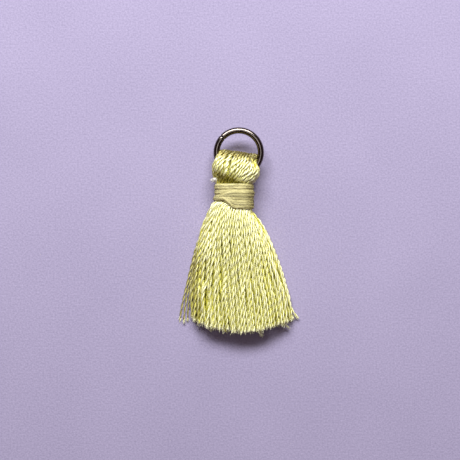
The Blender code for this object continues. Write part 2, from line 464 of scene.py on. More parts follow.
class ThreadTree(Graph):
    """Geometry Nodes that turn chains of edges into plied thread."""

    INPUTS = (
        ("Chains", "NodeSocketGeometry"),
        ("Plies", "NodeSocketInt"),
        ("Ply Radius", "NodeSocketFloat"),
        ("Ply Offset", "NodeSocketFloat"),
        ("Pitch", "NodeSocketFloat"),
        ("Sides", "NodeSocketInt"),
        ("Finish", "NodeSocketMaterial"),
    )

    def __init__(self) -> None:
        """Builds the tree once for every thread."""
        tree = bpy.data.node_groups.new("plied_thread", "GeometryNodeTree")
        super().__init__(tree)
        for name, kind in self.INPUTS:
            tree.interface.new_socket(name, in_out="INPUT", socket_type=kind)
        tree.interface.new_socket("Thread", in_out="OUTPUT", socket_type="NodeSocketGeometry")
        given = self.node("NodeGroupInput").outputs
        radius = Value(self, given["Ply Radius"])
        offset = Value(self, given["Ply Offset"])
        curves = self.output("GeometryNodeMeshToCurve", None, {"Mesh": given["Chains"]})
        copies = self.node(
            "GeometryNodeDuplicateElements",
            {"domain": "SPLINE"},
            {"Geometry": curves, "Amount": given["Plies"]},
        ).outputs
        length = self.value("GeometryNodeSplineParameter", output="Length")
        stored = self.stored(copies[0], "ply_length", length)
        position = self.output("GeometryNodeInputPosition")
        cored = self.stored(stored, "core", position, "FLOAT_VECTOR")
        turns = length * self.named("twist") / Value(self, given["Pitch"])
        share = Value(self, copies[1]) / Value(self, given["Plies"])
        stand = self.ply_offset((share + turns) * FULL_TURN + self.named("phase"), offset)
        placed = self.output("GeometryNodeSetPosition", None, {"Geometry": cored, "Offset": stand})
        thick = self.named("thick")
        sized = self.output(
            "GeometryNodeSetCurveRadius", None, {"Curve": placed, "Radius": thick * radius}
        )
        circle = self.output(
            "GeometryNodeCurvePrimitiveCircle", None, {"Resolution": given["Sides"], "Radius": 1.0}
        )
        around = self.value("GeometryNodeSplineParameter", output="Factor")
        skin = self.skin(sized, self.stored(circle, "ply_turn", around))
        thread = self.stored(skin, "crest", self.crest((radius + offset) * thick))
        for kind, sockets in (
            ("GeometryNodeRemoveAttribute", {"Name": "core"}),
            ("GeometryNodeSetShadeSmooth", {}),
            ("GeometryNodeRealizeInstances", {}),
            ("GeometryNodeSetMaterial", {"Material": given["Finish"]}),
        ):
            thread = self.output(kind, None, {"Geometry": thread, **sockets})
        self.node("NodeGroupOutput", None, {"Thread": thread})
        self.identifiers = {
            item.name: item.identifier
            for item in tree.interface.items_tree
            if item.in_out == "INPUT"
        }

    def named(self, name: str) -> Value:
        """A number stored on the chains."""
        return self.value("GeometryNodeInputNamedAttribute", {"data_type": "FLOAT"}, {"Name": name})

    def stored(self, geometry: Socket, name: str, value: Any, kind: str = "FLOAT") -> Socket:
        """Stores a number or a vector at each point of a geometry.

        Args:
            geometry: the socket of the geometry.
            name: the name that it is stored under.
            value: the number's Value, or the vector's socket.
            kind: the stored type.

        Returns:
            The geometry's new socket.
        """
        settings = {"data_type": kind, "domain": "POINT"}
        sockets = {"Geometry": geometry, "Name": name, "Value": value}
        return self.output("GeometryNodeStoreNamedAttribute", settings, sockets)

    def vector_maths(self, operation: str, sockets: Sockets, output: str | int = 0) -> Socket:
        """Adds a Vector Math node and returns its result."""
        return self.output("ShaderNodeVectorMath", {"operation": operation}, sockets, output)

    def crest(self, reach: Value) -> Value:
        """How far the skin stands off the yarn's middle line: 1 on the plies' outer sides.

        Args:
            reach: how far the plies' outer sides stand off it.

        Returns:
            The share.
        """
        place = self.output("GeometryNodeInputPosition")
        settings = {"data_type": "FLOAT_VECTOR"}
        core = self.output("GeometryNodeInputNamedAttribute", settings, {"Name": "core"})
        apart = Value(self, self.vector_maths("DISTANCE", {0: place, 1: core}, "Value"))
        return apart / reach

    def skin(self, curve: Socket, profile: Socket) -> Socket:
        """Sweeps a profile along curves, as thick as their radius says.

        Args:
            curve: the socket of the curves.
            profile: the socket of the profile.

        Returns:
            The socket of the mesh.
        """
        sockets = {"Curve": curve, "Profile Curve": profile, "Fill Caps": True}
        node = self.node("GeometryNodeCurveToMesh", None, sockets)
        if "Scale" in node.inputs:
            self.tree.links.new(self.output("GeometryNodeInputRadius"), node.inputs["Scale"])
        return node.outputs[0]

    def ply_offset(self, angle: Value, offset: Value) -> Socket:
        """How far each ply stands off the yarn's middle line.

        Args:
            angle: where round the yarn the ply is, in radians.
            offset: how far it normally stands off.

        Returns:
            The offset's socket.
        """
        reach = self.named("thick") * self.named("open_up") * offset
        normal = self.output("GeometryNodeInputNormal")
        tangent = self.output("GeometryNodeInputTangent")
        side = self.vector_maths("CROSS_PRODUCT", {0: tangent, 1: normal})
        across = self.vector_maths("SCALE", {0: normal, "Scale": angle.cosine() * reach})
        upward = self.vector_maths("SCALE", {0: side, "Scale": angle.sine() * reach})
        return self.vector_maths("ADD", {0: across, 1: upward})

    def lay(self, name: str, chains: Sequence[Chain], lay: Lay, finish: Material) -> Piece:
        """Lays thread along chains as one plain mesh.

        Args:
            name: the piece's name.
            chains: the middle lines.
            lay: how the thread is plied.
            finish: the thread's material.

        Returns:
            The piece, with its modifier applied.
        """
        for chain in chains:
            reach = lay.ply_radius + lay.ply_offset * chain.column("open_up")
            lowest = reach * chain.column("thick") + CLEARANCE
            chain.points[:, 2] = np.maximum(chain.points[:, 2], lowest)
        host = linked(name + "_chains", self.chain_mesh(chains))
        modifier = host.modifiers.new("thread", "NODES")
        modifier.node_group = self.tree
        sizes = {
            "Plies": lay.plies,
            "Ply Radius": lay.ply_radius * MM,
            "Ply Offset": lay.ply_offset * MM,
            "Pitch": lay.pitch * MM,
            "Sides": lay.sides,
            "Finish": finish,
        }
        for key, size in sizes.items():
            modifier[self.identifiers[key]] = size
        graph = bpy.context.evaluated_depsgraph_get()
        mesh = bpy.data.meshes.new_from_object(
            host.evaluated_get(graph), preserve_all_data_layers=True, depsgraph=graph
        )
        host.modifiers.remove(modifier)
        bpy.data.objects.remove(host, do_unlink=True)
        mesh.name = name
        if not mesh.materials:
            mesh.materials.append(finish)
        return linked(name, mesh)

    @staticmethod
    def chain_mesh(chains: Sequence[Chain]) -> bpy.types.Mesh:
        """Puts chains into one mesh of edges, with their numbers as attributes.

        Args:
            chains: the middle lines.

        Returns:
            The mesh.
        """
        counts = [len(chain.points) for chain in chains]
        starts = np.concatenate([[0], np.cumsum(counts)[:-1]])
        edges = np.concatenate(
            [
                np.stack([np.arange(n - 1), np.arange(1, n)], axis=1) + start
                for n, start in zip(counts, starts)
            ]
        )
        points = np.concatenate([chain.points for chain in chains]) * MM
        mesh = bpy.data.meshes.new("chains")
        mesh.from_pydata(points.tolist(), edges.tolist(), [])
        for key in ("tone", "phase", "thick", "open_up", "dull", "twist"):
            numbers = np.concatenate([chain.column(key) for chain in chains])
            layer = mesh.attributes.new(key, "FLOAT", "POINT")
            layer.data.foreach_set("value", numbers.astype(np.float32))
        return mesh


def smooth_line(controls: Array, count: int) -> Array:
    """A smooth line through control points, with its points evenly apart.

    Args:
        controls: the control points, one in each row.
        count: how many points the line gets.

    Returns:
        The line's points.
    """
    padded = np.vstack([2 * controls[0] - controls[1], controls, 2 * controls[-1] - controls[-2]])
    t = np.linspace(0, 1, 13)[:-1, None]
    runs = []
    for a, b, c, d in zip(padded, padded[1:], padded[2:], padded[3:]):
        runs.append(
            0.5
            * (
                2 * b
                + (c - a) * t
                + (2 * a - 5 * b + 4 * c - d) * t**2
                + (3 * b - a - 3 * c + d) * t**3
            )
        )
    line = np.vstack([*runs, controls[-1:]])
    length = np.concatenate([[0], np.cumsum(np.linalg.norm(np.diff(line, axis=0), axis=1))])
    even = np.linspace(0, length[-1], count)
    return np.stack([np.interp(even, length, column) for column in line.T], axis=1)


def squared_oval(angle: Array, squareness: float) -> tuple[Array, Array]:
    """Points of an oval that reaches 1 on each side.

    Args:
        angle: angles round it, in radians.
        squareness: 2 for a round one, and more for a squarer one.

    Returns:
        How far across and how far up the points are.
    """
    power = 2 / squareness
    cosine, sine = np.cos(angle), np.sin(angle)
    return np.sign(cosine) * np.abs(cosine) ** power, np.sign(sine) * np.abs(sine) ** power


def hair(points: Sequence[Array], tone: float, thick: Sequence[float]) -> Chain:
    """A fine filament, kept just above the surface.

    Args:
        points: its places.
        tone: how pale it is.
        thick: the share of the full thickness at each place.

    Returns:
        Its middle line.
    """
    line = np.array(points)
    line[:, 2] = np.maximum(line[:, 2], LOWEST_HAIR)
    return Chain(line, tone, thick=np.array(thick))


def stray_fibres(
    chains: Sequence[Chain], rng: np.random.Generator, count: int, reach: float
) -> list[Chain]:
    """Fine fibres that follow the yarns and bow out of them a little.

    Args:
        chains: the yarns' middle lines.
        rng: the source of the fibres' differences.
        count: how many fibres there are.
        reach: how far they bow out.

    Returns:
        The fibres' middle lines.
    """
    fibres = []
    for _ in range(count):
        chain = chains[int(rng.integers(len(chains)))]
        size = int(rng.integers(*STRAY_POINTS))
        first = int(rng.integers(0, len(chain.points) - size))
        bow = np.sin(np.linspace(0, math.pi, size))[:, None]
        line = chain.points[first : first + size] + rng.normal(0, STRAY_SHIFT, 3)
        line = line + bow * rng.normal(0, reach, 3) + (0, 0, reach)
        fibres.append(Chain(line, rng.uniform(0.5, 1.0)))
    return fibres


def mark_recess_shade(piece: Piece, outline: Array, squareness: float) -> None:
    """Stores, as painted shade among the yarns, how deep each point of a piece lies under the
    surface of all the yarns together.

    Args:
        piece: the piece.
        outline: rows of a place, left and right edge, lowest and highest level, and flatness.
        squareness: the power of the rounded section, where 2 is an ellipse.
    """
    places = np.empty(len(piece.data.vertices) * 3, dtype=np.float32)
    piece.data.vertices.foreach_get("co", places)
    x, y, z = places.reshape(-1, 3).T / MM
    table = outline[np.argsort(outline[:, 0])].T
    left, right, low, high, flat = (np.interp(y, table[0], row) for row in table[1:])
    share = np.clip((2 * x - left - right) / (right - left), -1, 1)
    rounding = (1 - np.abs(share) ** squareness) ** (1 / squareness)
    bottom = low + (1 - flat) * (high - low) / 2 * (1 - rounding)
    depth = np.minimum(bottom + (high - low) * rounding - z, z - bottom)
    # The depth is stored as the share of painted shade among the yarns.
    layer = piece.data.attributes.new("sunk", "FLOAT", "POINT")
    layer.data.foreach_set("value", ramp_up(depth, *RECESS_SHADE_DEPTHS).astype(np.float32))


def low_to_high(value: Array) -> Array:
    """Shares from 0 at the lowest value to 1 at the highest."""
    return (value - value.min()) / max(float(np.ptp(value)), 1e-6)


def ramp_up(value: Array | float, start: float, end: float) -> Array:
    """Rises smoothly from 0 at start to 1 at end."""
    share = np.clip((np.asarray(value) - start) / (end - start), 0, 1)
    return share * share * (3 - 2 * share)


@dataclass(frozen=True)
class RingPlace:
    """Where the split ring lies: level, halfway up the head, held by the fold."""

    centre: tuple[float, float, float] = (0.03, 12.42, 2.9)
    outer: float = 8.0
    wire: float = 1.0

    @property
    def mean_radius(self) -> float:
        """The radius of the wire's middle line."""
        return (self.outer - self.wire) / 2

    def line(self, angle: Array, lift: Array) -> Array:
        """Points of the wire's middle line.

        Args:
            angle: angles round the ring, in radians.
            lift: how far each stands off the ring's plane.

        Returns:
            The points.
        """
        x = self.centre[0] + self.mean_radius * np.cos(angle)
        y = self.centre[1] + self.mean_radius * np.sin(angle)
        return np.stack([x, y, self.centre[2] + lift], axis=1)

    def offset(self, points: Array) -> tuple[Array, Array]:
        """How points lie to the wire as seen from above.

        Args:
            points: the points.

        Returns:
            Unit vectors away from the ring's middle, and distances outside the wire's middle line.
        """
        flat = points[:, :2] - np.array(self.centre[:2])
        radius = np.maximum(np.linalg.norm(flat, axis=1), 1e-6)
        return flat / radius[:, None], radius - self.mean_radius

    def pass_over(self, points: Array, room: float, side: Array) -> Array:
        """Lifts points over the wire, or lowers them under it.

        Args:
            points: the points.
            room: how far from the wire's middle line they end up at least.
            side: 1 for points that pass over the wire, -1 for those that pass under it.

        Returns:
            The moved points.
        """
        _, outside = self.offset(points)
        clear = np.sqrt(np.clip(room**2 - outside**2, 0, None))
        height = np.maximum((points[:, 2] - self.centre[2]) * side, clear)
        moved = points.copy()
        lifted = self.centre[2] + height * side
        moved[:, 2] = np.where(clear > 0, lifted, points[:, 2])
        return moved

    def push_clear(self, points: Array, room: float) -> Array:
        """Moves points out of the wire.

        Args:
            points: the points.
            room: how far from the wire's middle line they end up at least.

        Returns:
            The moved points.
        """
        outwards, outside = self.offset(points)
        height = points[:, 2] - self.centre[2]
        distance = np.maximum(np.hypot(outside, height), 1e-6)
        push = np.clip(room - distance, 0, None) / distance
        moved = points.copy()
        moved[:, :2] += outwards * (outside * push)[:, None]
        moved[:, 2] += height * push
        return moved


RING = RingPlace()


class SkirtSection(NamedTuple):
    """A cut across the skirt: its place, edges and levels, and how its plane is bent."""

    y: float
    left: float
    right: float
    low: float
    high: float
    flat: float
    yarn: float
    slant: float
    bow: float


@dataclass
class Seeded:
    """A sub-assembly whose small differences come from its own fixed seed."""

    seed: int = 0
    rng: np.random.Generator = field(init=False)

    def __post_init__(self) -> None:
        """Seeds the small differences."""
        self.rng = np.random.default_rng(self.seed)


class LooseYarn(NamedTuple):
    """A yarn that lies by itself beside the skirt: its places from the neck down, and its tone."""

    x: tuple[float, ...]
    y: tuple[float, ...]
    z: tuple[float, ...]
    tone: float


class Wisp(NamedTuple):
    """Filaments that stick out of the cut ends: their root, sideways lean, length and number."""

    x: float
    y: float
    z: float
    lean: float
    length: float
    count: int


@dataclass
class SkirtYarns(Seeded):
    """The free yarns of the skirt, packed in each section and joined up from the neck down.

    Attributes:
        first_reach: how far a push reaches at first in the lowest section, over the spacing.
        next_reach: how far it reaches at first in the others.
        last_reach: how far it reaches in the end.
        overhang: how much further the lowest yarns are cut than the uppermost.
        cut_unevenness: how far the cut ends lie apart.
        sway: how far a yarn wanders sideways.
        rise: how far it wanders up and down.
        tones: the mean tone of a yarn, and how far it differs.
        thick_spread: how far the thickness differs.
        twist_spread: how far the twist differs.
        thick_along: places along the skirt, and the share of the thickness there.
        opens_at: where along a yarn its cut end starts to open up.
        opening: how far it opens up.
        thinning: how much thinner its plies get there.
        flank_painted_shade: how much painted shade the yarns on the left flank get.
        loose_darkening: how much darker the loose ones there get further from the neck.
    """

    sections: tuple[SkirtSection, ...] = (
        SkirtSection(7.30, -3.30, 1.97, 0.45, 4.75, 0.0, 0.36, 0.00, 0.0),
        SkirtSection(4.50, -3.40, 2.02, 0.42, 4.80, 0.0, 0.36, -0.19, 0.0),
        SkirtSection(3.75, -4.20, 2.20, 0.30, 4.95, 0.2, 0.38, -0.22, 0.0),
        SkirtSection(2.60, -4.88, 2.85, 0.10, 5.05, 0.6, 0.42, -0.14, 0.0),
        SkirtSection(0.20, -6.02, 4.45, 0.00, 4.90, 1.0, 0.46, -0.04, 0.0),
        SkirtSection(-3.20, -6.72, 5.90, 0.00, 4.55, 1.0, 0.50, 0.0, 0.1),
        SkirtSection(-7.40, -7.45, 7.15, 0.00, 4.10, 1.0, 0.52, 0.0, 0.5),
        SkirtSection(-11.20, -7.75, 8.25, 0.00, 3.80, 1.0, 0.54, 0.0, 1.0),
        SkirtSection(-15.45, -7.75, 8.95, 0.00, 3.50, 1.0, 0.54, 0.0, 1.60),
    )
    loose: tuple[LooseYarn, ...] = (
        LooseYarn(
            (-3.0, -3.6, -5.3, -6.55, -7.45, -8.5, -9.15, -9.35),
            (6.5, 3.6, 0.8, -2.2, -5.4, -9.6, -12.6, -14.2),
            (1.2, 1.2, 0.9, 0.5, 0.26, 0.26, 0.26, 0.26),
            0.3,
        ),
        LooseYarn(
            (-3.0, -3.6, -5.2, -6.4, -7.2, -8.1, -8.55, -8.75),
            (6.5, 3.6, 0.8, -2.2, -5.8, -9.6, -12.4, -14.5),
            (1.6, 1.4, 1.0, 0.6, 0.30, 0.26, 0.26, 0.26),
            0.5,
        ),
        LooseYarn(
            (-3.0, -3.6, -5.1, -6.35, -7.1, -7.75, -8.05, -8.15),
            (6.5, 3.6, 0.8, -2.2, -6.2, -9.8, -12.4, -14.3),
            (2.0, 1.8, 1.3, 0.9, 0.50, 0.30, 0.26, 0.26),
            0.3,
        ),
        LooseYarn(
            (1.5, 1.8, 3.8, 5.5, 7.1, 8.3, 8.9, 9.45),
            (6.5, 3.6, 0.8, -3.2, -8.0, -12.0, -13.1, -13.9),
            (2.0, 2.2, 2.0, 1.6, 1.2, 0.9, 0.7, 0.5),
            1.0,
        ),
    )
    wisps: tuple[Wisp, ...] = (
        Wisp(3.35, -15.75, 2.3, 0.35, 1.15, 36),
        Wisp(7.45, -14.95, 0.9, 0.9, 0.8, 12),
        Wisp(-4.4, -15.35, 1.8, -0.1, 0.7, 16),
    )
    seed: int = 11
    count: int = 196
    squareness: float = 2.7
    rounds: int = 120
    first_reach: float = 1.15
    next_reach: float = 0.95
    last_reach: float = 0.92
    golden_angle: float = math.pi * (3 - math.sqrt(5))
    push_strength: float = 0.35
    overhang: float = 0.35
    cut_unevenness: float = 0.17
    sway: float = 0.20
    rise: float = 0.14
    tones: tuple[float, float] = (0.55, 0.28)
    thick_spread: float = 0.06
    twist_spread: float = 0.14
    thick_along: tuple[tuple[float, ...], tuple[float, ...]] = (
        (-7.3, -3.4, -1.5, 4.0, 9.0),
        (0.80, 0.94, 1.1, 1.1, 1.0),
    )
    opens_at: float = 0.955
    opening: float = 0.5
    thinning: float = 0.25
    flank_painted_shade: float = 0.45
    loose_darkening: float = 0.75
    points_each: int = 76
    lay: Lay = Lay(plies=2, ply_radius=0.124, ply_offset=0.116, pitch=2.6, sides=6)
    frays_each: int = 9
    stray_count: int = 700
    stray_reach: float = 0.13

    def room(self, section: SkirtSection, share: Array) -> tuple[Array, Array]:
        """How low yarn centres can lie in a section, and how much room there is above that.

        Args:
            section: the section.
            share: shares of the half width.

        Returns:
            The lowest levels and the room.
        """
        rounding = (1 - np.clip(np.abs(share), 0, 1) ** self.squareness) ** (1 / self.squareness)
        height = section.high - section.low
        low = section.low + (1 - section.flat) * height / 2 * (1 - rounding) + section.yarn / 2
        return low, np.clip(height * rounding - section.yarn, 0.01, None)

    def spread(
        self, section: SkirtSection, share: Array, lift: Array, first_reach: float
    ) -> tuple[Array, Array]:
        """Evens the yarns out inside a section, each pushing away the ones that are too near.

        Args:
            section: the section.
            share: each yarn's share of the half width.
            lift: each yarn's share of the height there.
            first_reach: how far a push reaches at first, over the mean spacing.

        Returns:
            The new shares of the half width and of the height.
        """
        half_width = (section.right - section.left - section.yarn) / 2
        _, heights = self.room(section, np.linspace(-1, 1, 81))
        spacing = math.sqrt((heights.mean() + section.yarn) * 2 * half_width / len(share))
        order = np.arange(len(share))
        nudge = (order[:, None] - order[None, :]) * 1e-6
        for reach in np.linspace(first_reach, self.last_reach, self.rounds) * spacing:
            low, height = self.room(section, share)
            across = share * half_width
            level = low + lift * height
            dx = across[:, None] - across[None, :] + nudge
            dz = level[:, None] - level[None, :]
            apart = np.hypot(dx, dz)
            np.fill_diagonal(apart, reach)
            push = np.clip(reach - apart, 0, None) / apart * self.push_strength
            share = np.clip((across + (dx * push).sum(axis=1)) / half_width, -1, 1)
            low, height = self.room(section, share)
            lift = np.clip((level + (dz * push).sum(axis=1) - low) / height, 0, 1)
        return share, lift

    def controls(self) -> Array:
        """The yarns' places in every section.

        Returns:
            An array of yarns by sections by coordinates.
        """
        order = np.arange(self.count)
        radius = np.sqrt((order + 0.5) / self.count)
        share = radius * np.cos(order * self.golden_angle)
        lift = 0.5 + 0.5 * radius * np.sin(order * self.golden_angle)
        wander = self.rng.normal(0, 1, (self.count, 4))
        cut = self.rng.normal(0, self.cut_unevenness, self.count)
        reach = self.first_reach
        rows = []
        for section in reversed(self.sections):
            share, lift = self.spread(section, share, lift, reach)
            reach = self.next_reach
            low, height = self.room(section, share)
            middle = (section.left + section.right) / 2
            half_width = (section.right - section.left - section.yarn) / 2
            along = section.y + section.slant * share * half_width + section.bow * share**2 + cut
            if section is self.sections[-1]:
                along = along - self.overhang * low_to_high(lift * height)
            cut = 0.0
            freedom = ramp_up(-section.y, -3.0, 8.0)
            turn = section.y * 0.55
            sway = self.sway * freedom * wander[:, 0] * np.sin(turn + wander[:, 1] * 2)
            rise = self.rise * freedom * wander[:, 2] * np.sin(turn * 1.2 + wander[:, 3] * 2)
            across = middle + share * half_width + sway
            level = np.maximum(low + lift * height + rise, section.yarn / 2)
            rows.append(np.stack([across, along, level], axis=1))
        return np.stack(rows[::-1], axis=1)

    def chain(self, controls: Array, tone: float) -> Chain:
        """Turns a yarn's control points into its middle line.

        Args:
            controls: the yarn's place in every section.
            tone: how pale the yarn is.

        Returns:
            The chain, thinner in the neck and opening up at its cut end.
        """
        points = smooth_line(controls, self.points_each)
        along = np.linspace(0, 1, self.points_each)
        thick = np.interp(-points[:, 1], *self.thick_along)
        end = ramp_up(along, self.opens_at, 1.0)
        return Chain(
            points,
            tone,
            self.rng.uniform(0, FULL_TURN),
            thick * (1 - self.thinning * end) * self.rng.normal(1, self.thick_spread),
            1 + self.opening * end,
            twist=self.rng.normal(1.0, self.twist_spread),
        )

    def chains(self) -> tuple[list[Chain], list[Chain]]:
        """Makes the yarns' middle lines, with painted shade on the left flank.

        Returns:
            The upper ones and the lower ones.
        """
        controls = self.controls()
        level = controls[:, -2, 2]
        tones = np.clip(self.rng.normal(*self.tones, self.count), 0, 1)
        chains = [self.chain(control, tone) for control, tone in zip(controls, tones)]
        for chain in chains:
            # Painted shade on the left flank.
            shaded = ramp_up(-chain.points[:, 0], 5.0, 7.2) * ramp_up(-chain.points[:, 1], -1.0, 4.0)
            chain.dull = self.flank_painted_shade * shaded
        middle = float(np.median(level))
        upper = [chain for chain, height in zip(chains, level) if height > middle]
        lower = [chain for chain, height in zip(chains, level) if height <= middle]
        for yarn in self.loose:
            chain = self.chain(np.array([yarn.x, yarn.y, yarn.z]).T, yarn.tone)
            if yarn.x[-1] < 0:
                chain.thick = chain.thick * np.interp(-chain.points[:, 1], [2.0, 8.0], [1, 0.68])
                # The loose yarns on the left get darker further from the neck.
                chain.dull = ramp_up(-chain.points[:, 1], -1.0, 6.0) * self.loose_darkening
            lower.append(chain)
        return upper, lower

    def frays(self, chains: Sequence[Chain]) -> list[Chain]:
        """Fine filaments that stand out of the cut ends.

        Args:
            chains: the yarns.

        Returns:
            The filaments' middle lines.
        """
        hairs = []
        for wisp in self.wisps:
            for _ in range(wisp.count):
                root = np.array(wisp[:3]) + self.rng.normal(0, 0.13, 3) * (1, 0.6, 1)
                aim = np.array([wisp.lean, -1.0, -0.25]) * wisp.length * self.rng.uniform(0.5, 1.0)
                aim = aim + self.rng.normal(0, 0.12, 3)
                points = [root, root + aim * 0.5 + self.rng.normal(0, 0.06, 3), root + aim]
                hairs.append(hair(points, self.rng.uniform(0.6, 1.0), (1.0, 0.9, 0.5)))
        for chain in chains:
            end = chain.points[-1]
            ahead = end - chain.points[-6]
            ahead = ahead / np.linalg.norm(ahead)
            for _ in range(self.frays_each):
                root = end - ahead * 0.35 + self.rng.normal(0, 0.12, 3)
                drift = self.rng.normal(0, 0.11, 3)
                reach = self.rng.uniform(0.03, 0.24)
                middle = root + ahead * (0.35 + 0.4 * reach) + drift * 0.4
                points = [root, middle, root + ahead * (0.35 + reach) + drift]
                hairs.append(hair(points, self.rng.uniform(0.4, 1.0), (1.2, 1.2, 0.7)))
        return hairs

    def build(self, threads: ThreadTree, finish: Material) -> list[Piece]:
        """Makes the skirt's pieces.

        Args:
            threads: the tree that lays thread.
            finish: the yarn's material.

        Returns:
            The upper yarns, the lower yarns, the frayed ends and the stray fibres.
        """
        upper, lower = self.chains()
        stray = stray_fibres(upper, self.rng, self.stray_count, self.stray_reach)
        pieces = [
            threads.lay("skirt_yarns_upper", upper, self.lay, finish),
            threads.lay("skirt_yarns_lower", lower, self.lay, finish),
            threads.lay("skirt_cut_ends", self.frays(upper + lower), Lay(ply_radius=0.030), finish),
            threads.lay("skirt_stray_fibres", stray, STRAY_FIBRE, finish),
        ]
        for piece in pieces[:2]:
            mark_recess_shade(piece, np.array(self.sections)[:, :6], self.squareness)
        return pieces


class HeadRow(NamedTuple):
    """A cut across the head: its place, middle, half width, and lowest and highest level."""

    y: float
    middle: float
    half_width: float
    low: float
    high: float


@dataclass
class HeadYarns(Seeded):
    """The yarns of the head: up the front, over the fold and down the back, in layers.

    Attributes:
        layers: how deep each layer lies.
        lean: how far a yarn leans sideways on its way up, as a share of the outline.
        fold_skew: how much the fold slopes down to the right.
        dip: how far the yarns dip into the tie in front.
        ring_room: how far a yarn stays off the wire.
        ring_trim: how far the right side draws in where the wire passes.
        tie_edge_x: the left and right end of the tie's upper edge in front.
        wobble: how far a yarn wanders sideways, as a share of the outline.
        shift: how far it lies off its layer.
        lowest: the lowest level of its middle line.
        tones: the mean tone of a yarn, and how far it differs.
        thick_spread: how far the thickness differs.
        twist_spread: how far the twist differs.
        even_painted_shade: how much painted shade lies evenly over the head's yarns.
        undercut_painted_shade: how much more painted shade a yarn gets where it dips into the tie.
    """

    rows: tuple[HeadRow, ...] = (
        HeadRow(6.60, -0.67, 2.64, 0.42, 4.75),
        HeadRow(7.35, -0.67, 2.70, 0.40, 4.80),
        HeadRow(7.80, -0.60, 3.15, 0.25, 5.15),
        HeadRow(8.55, -0.47, 3.62, 0.05, 5.50),
        HeadRow(9.60, -0.38, 3.84, 0.00, 5.68),
        HeadRow(10.60, -0.30, 3.88, 0.00, 5.62),
        HeadRow(11.40, -0.18, 3.66, 0.12, 5.22),
        HeadRow(11.90, -0.10, 3.46, 0.48, 4.76),
        HeadRow(12.30, -0.05, 3.26, 0.95, 4.22),
        HeadRow(12.58, -0.03, 3.06, 1.60, 3.65),
        HeadRow(12.68, -0.03, 2.96, 2.30, 2.95),
    )
    squareness: float = 2.6
    layers: tuple[float, ...] = (0.26, 0.72, 1.2)
    spacing: float = 0.47
    lean: float = 0.13
    fold_skew: float = -0.13
    dip: float = 1.0
    ring_room: float = 0.27
    ring_trim: float = 0.62
    tie_edge_x: tuple[float, float] = (-3.2, 1.8)
    wobble: float = 0.005
    shift: float = 0.025
    lowest: float = 0.28
    tones: tuple[float, float] = (0.3, 0.32)
    thick_spread: float = 0.06
    twist_spread: float = 0.12
    even_painted_shade: float = 0.16
    undercut_painted_shade: float = 0.4
    seed: int = 23
    climb_steps: int = 25
    points_each: int = 70
    lay: Lay = Lay(plies=2, ply_radius=0.158, ply_offset=0.14, pitch=2.2, sides=6)
    stray_count: int = 420
    stray_reach: float = 0.15

    def angle_table(self) -> tuple[Array, Array, float]:
        """How the widest row's outline runs.

        Returns:
            Angles round it, the share of the outline at each, and the outline's length.
        """
        widest = max(self.rows, key=lambda row: row.half_width)
        angle = np.linspace(0, FULL_TURN, 1441)
        across, upward = squared_oval(angle, self.squareness)
        half_height = (widest.high - widest.low) / 2
        steps = np.hypot(np.diff(across) * widest.half_width, np.diff(upward) * half_height)
        length = np.concatenate([[0], np.cumsum(steps)])
        return angle, length / length[-1], float(length[-1])

    def surface(self, rows: Array, share: Array, inset: float) -> Array:
        """Points of the head at shares of the outline.

        Args:
            rows: interpolated rows, one for each point.
            share: the share of the outline for each point.
            inset: how far inside the surface the points lie.

        Returns:
            The points.
        """
        angle, shares, _ = self.angle_table()
        across, upward = squared_oval(np.interp(share % 1.0, shares, angle), self.squareness)
        y, middle, half_width, low, high = rows.T
        x = middle + across * (half_width - inset)
        z = (high + low) / 2 + upward * np.maximum((high - low) / 2 - inset, 0.05)
        bare_ring = ramp_up(y, 9.7, 10.4) * ramp_up(-y, -12.3, -11.6)
        right_side = ramp_up(across, 0.45, 0.85) * ramp_up(upward, -0.6, -0.2)
        x = x - self.ring_trim * bare_ring * right_side
        skew = self.fold_skew * x * ramp_up(y, 9.0, 12.6)
        top = inset * ramp_up(y, 11.6, 12.68)
        edge = np.interp(x, self.tie_edge_x, [9.35, 7.5])
        into_tie = ramp_up(edge - y, 0.0, 0.55) * ramp_up(upward, 0.1, 0.7)
        z = z - self.dip * into_tie * ramp_up(-x, -1.9, 0.4)
        return np.stack([x, y + skew - top, z], axis=1)

    def chain(self, start: float, inset: float) -> Chain:
        """One folded yarn.

        Args:
            start: the share of the outline where it leaves the neck in front.
            inset: how deep its layer lies.

        Returns:
            Its middle line, from the neck over the fold and back to the neck.
        """
        climb = np.linspace(0, 1, self.climb_steps)
        table = np.array(self.rows)
        place = climb * (len(table) - 1)
        rows = np.stack([np.interp(place, np.arange(len(table)), col) for col in table.T], axis=1)
        wobble = self.rng.normal(0, self.wobble, 2)
        lean = self.lean * (1.2 - 2.0 * start)
        front = start + lean * (0.5 - climb) + wobble[0] * np.sin(climb * 5 + start * 60)
        back = -front[-1] - 0.4 * self.lean * climb + wobble[1] * np.sin(climb * 5)
        up = self.surface(rows, front, inset)
        down = self.surface(rows[::-1], back, inset)
        line = smooth_line(np.vstack([up[:-1], down[1:]])[::2], self.points_each)
        fold = int(np.argmax(line[:, 1]))
        side = np.where(np.arange(self.points_each) < fold, 1.0, -1.0)
        outwards, outside = RING.offset(line)
        hole = ramp_up(line[:, 1], 10.5, 12.1) * np.clip(
            outside + 0.76 - np.abs(line[:, 2] - RING.centre[2]) * 0.9, 0, None
        )
        line[:, :2] -= outwards * hole[:, None]
        room = RING.wire / 2 + self.ring_room
        line = RING.pass_over(line, room, side)
        for _ in range(3):
            line[1:-1] = (line[:-2] + 2 * line[1:-1] + line[2:]) / 4
        line = RING.push_clear(line, room)
        line += self.rng.normal(0, self.shift, 3)
        line[:, 2] = np.maximum(line[:, 2], self.lowest)
        tone = float(np.clip(self.rng.normal(*self.tones), -0.3, 1))
        thick = np.full(self.points_each, self.rng.normal(1, self.thick_spread))
        return Chain(
            line,
            tone,
            self.rng.uniform(0, FULL_TURN),
            thick,
            dull=self.painted_shade(line),
            twist=self.rng.normal(1.0, self.twist_spread),
        )

